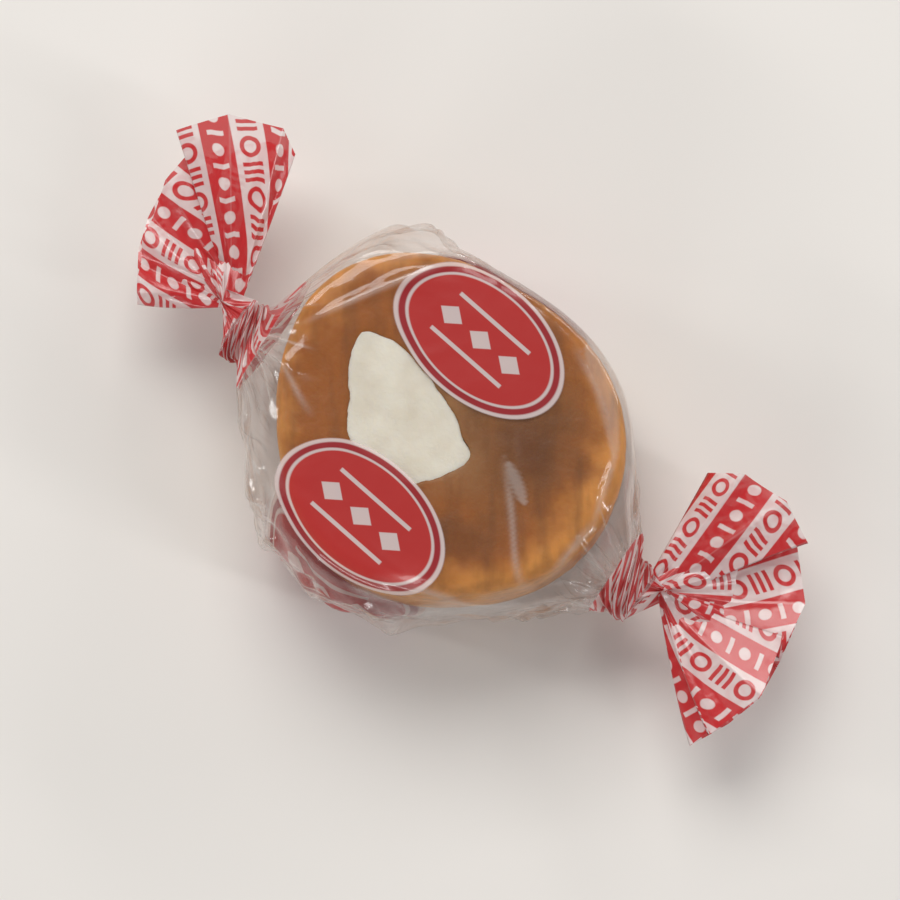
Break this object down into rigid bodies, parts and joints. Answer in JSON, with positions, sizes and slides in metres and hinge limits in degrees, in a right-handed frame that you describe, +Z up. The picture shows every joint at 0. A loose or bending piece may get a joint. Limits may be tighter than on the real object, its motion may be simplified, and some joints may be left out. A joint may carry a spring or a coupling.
{
  "type": "wrapped caramel candy",
  "caption": "Disc of caramel with a white cream centre, in a clear film twist wrapper with red oval labels and red and white striped ends.",
  "frame": {"origin": "on the surface that the candy lies on, under the middle of the caramel disc", "axes": "+Z up through the disc, +X along the wrapper towards the wide fan, +Y across it"},
  "size_m": [0.0683, 0.0305, 0.0156],
  "materials": {
    "caramel": "soft caramel, slightly glossy, darker brown inside than at its golden rim",
    "cream": "off-white cream, smooth and nearly matte",
    "wrapper_film": "clear glossy film, printed with red ovals on the body and with red and white slanted stripes on the twisted ends"
  },
  "bodies": {
    "root": {"caramel": "caramel", "cream": "cream", "wrapper": "wrapper_film"}
  },
  "joints": []
}
